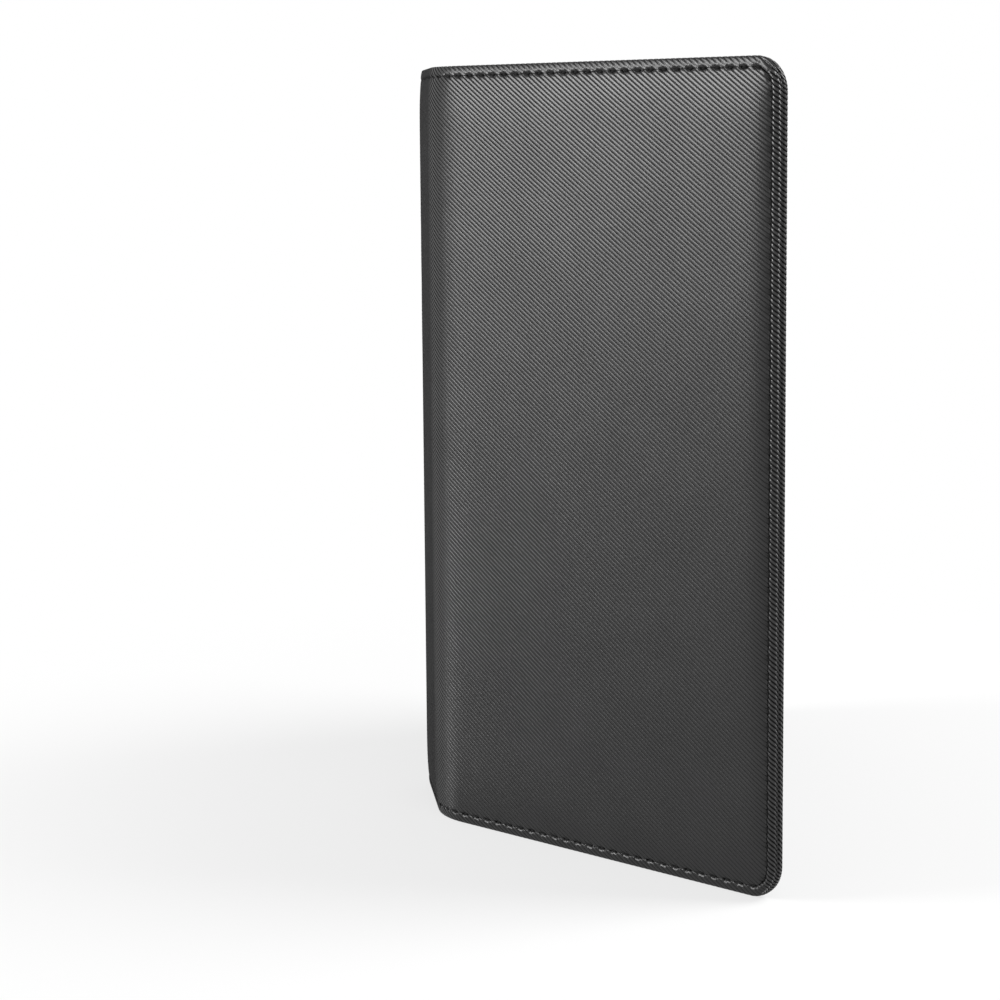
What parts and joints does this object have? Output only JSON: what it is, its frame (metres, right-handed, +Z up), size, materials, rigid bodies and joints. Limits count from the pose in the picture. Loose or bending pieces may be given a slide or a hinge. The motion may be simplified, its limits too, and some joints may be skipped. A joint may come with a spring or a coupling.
{
  "type": "passport holder wallet",
  "caption": "Book-style passport holder standing open: padded ribbed-fabric covers with stitched turned edges, a soft folding spine, and card, cash, ticket and passport pockets inside.",
  "frame": {"origin": "centre of the bounding box of the open holder, at the height of the bottom edges it stands on", "axes": "+Z up along the spine, +X from the spine to the front cover's free edge, -Y out of the front cover's padded face"},
  "size_m": [0.1108, 0.1062, 0.145],
  "materials": {
    "ribbed_skin": "satin",
    "smooth_panel": "satin",
    "lining": "matte",
    "thread": "matte",
    "foam": "matte",
    "board": "matte"
  },
  "bodies": {
    "back_cover": {"back_outer_skin": "ribbed_skin", "back_foam_pad": "foam", "back_board": "board", "back_lining": "lining", "back_edge_stitches": "thread", "ticket_pocket_panel": "smooth_panel", "passport_pocket_panel": "smooth_panel", "back_pocket_stitches": "thread"},
    "spine_back": {"spine_back_skin": "ribbed_skin", "spine_back_backing": "foam", "spine_back_lining": "lining", "spine_back_stitches": "thread", "back_bend_skin": "ribbed_skin", "back_bend_backing": "foam", "back_bend_lining": "lining", "back_bend_stitches": "thread"},
    "spine_front": {"spine_front_skin": "ribbed_skin", "spine_front_backing": "foam", "spine_front_lining": "lining", "spine_front_stitches": "thread", "front_bend_skin": "ribbed_skin", "front_bend_backing": "foam", "front_bend_lining": "lining", "front_bend_stitches": "thread"},
    "front_cover": {"front_outer_skin": "ribbed_skin", "front_foam_pad": "foam", "front_board": "board", "front_lining": "lining", "front_edge_stitches": "thread", "cash_pocket_panel": "smooth_panel", "card_pocket_rear": "smooth_panel", "card_pocket_middle": "smooth_panel", "card_pocket_near": "smooth_panel", "front_pocket_stitches": "thread"}
  },
  "joints": [
    {"name": "back_fold", "type": "hinge", "parent": "back_cover", "child": "spine_back", "pos_m": [-0.05424, -0.03182, 0.0725], "axis": [0, 0, 1], "range_deg": [-51.2, 4.5], "deforming": ["back_bend_skin", "back_bend_backing", "back_bend_lining", "back_bend_stitches"]},
    {"name": "spine_fold", "type": "hinge", "parent": "spine_back", "child": "spine_front", "pos_m": [-0.04012, -0.03996, 0.0725], "axis": [0, 0, 1], "range_deg": [0, 90]},
    {"name": "front_fold", "type": "hinge", "parent": "spine_front", "child": "front_cover", "pos_m": [-0.02928, -0.05188, 0.0725], "axis": [0, 0, 1], "range_deg": [-38.8, 4.5], "deforming": ["front_bend_skin", "front_bend_backing", "front_bend_lining", "front_bend_stitches"]}
  ]
}
